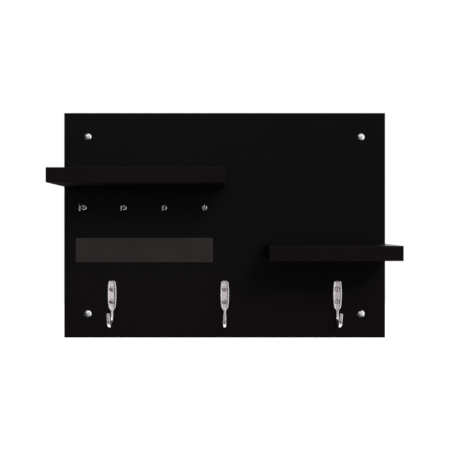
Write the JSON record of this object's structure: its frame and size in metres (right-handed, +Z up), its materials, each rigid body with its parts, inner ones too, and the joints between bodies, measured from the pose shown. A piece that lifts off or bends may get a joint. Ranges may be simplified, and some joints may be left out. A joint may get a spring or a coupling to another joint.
{
  "type": "wall key holder",
  "caption": "Black rectangular wall board with two offset shelves, small cup hooks for keys, a plain label strip and coat hooks, fixed through capped corner screws.",
  "frame": {"origin": "centre of the board's back face, in the plane of the wall and midway between the four wall screws", "axes": "+Z up, +X to the right as seen from the front, +Y into the wall; the board's front faces -Y"},
  "size_m": [0.4, 0.12, 0.28],
  "materials": {
    "board_laminate": "plain black laminate over fibreboard, satin",
    "shelf_laminate": "very dark brown wood-grain laminate, satin",
    "zinc_plate": "zinc-plated steel",
    "strip_face": "dark brown-grey, matt",
    "hook_chrome": "bright nickel-plated wire",
    "coat_hook_nickel": "satin nickel plate, brighter on its edges",
    "hook_screw_steel": "plated steel",
    "cap_chrome": "polished chrome"
  },
  "bodies": {
    "root": {"backboard": "board_laminate", "upper_shelf": "shelf_laminate", "lower_shelf": "shelf_laminate", "shelf_screws": "zinc_plate", "label_strip": "strip_face", "key_hook_1": "hook_chrome", "key_hook_2": "hook_chrome", "key_hook_3": "hook_chrome", "key_hook_4": "hook_chrome", "key_hook_collar_1": "hook_chrome", "key_hook_collar_2": "hook_chrome", "key_hook_collar_3": "hook_chrome", "key_hook_collar_4": "hook_chrome", "coat_hook_left": "coat_hook_nickel", "coat_hook_middle": "coat_hook_nickel", "coat_hook_right": "coat_hook_nickel", "coat_hook_screws": "hook_screw_steel", "wall_screws": "zinc_plate", "wall_screw_caps": "cap_chrome"}
  },
  "joints": []
}
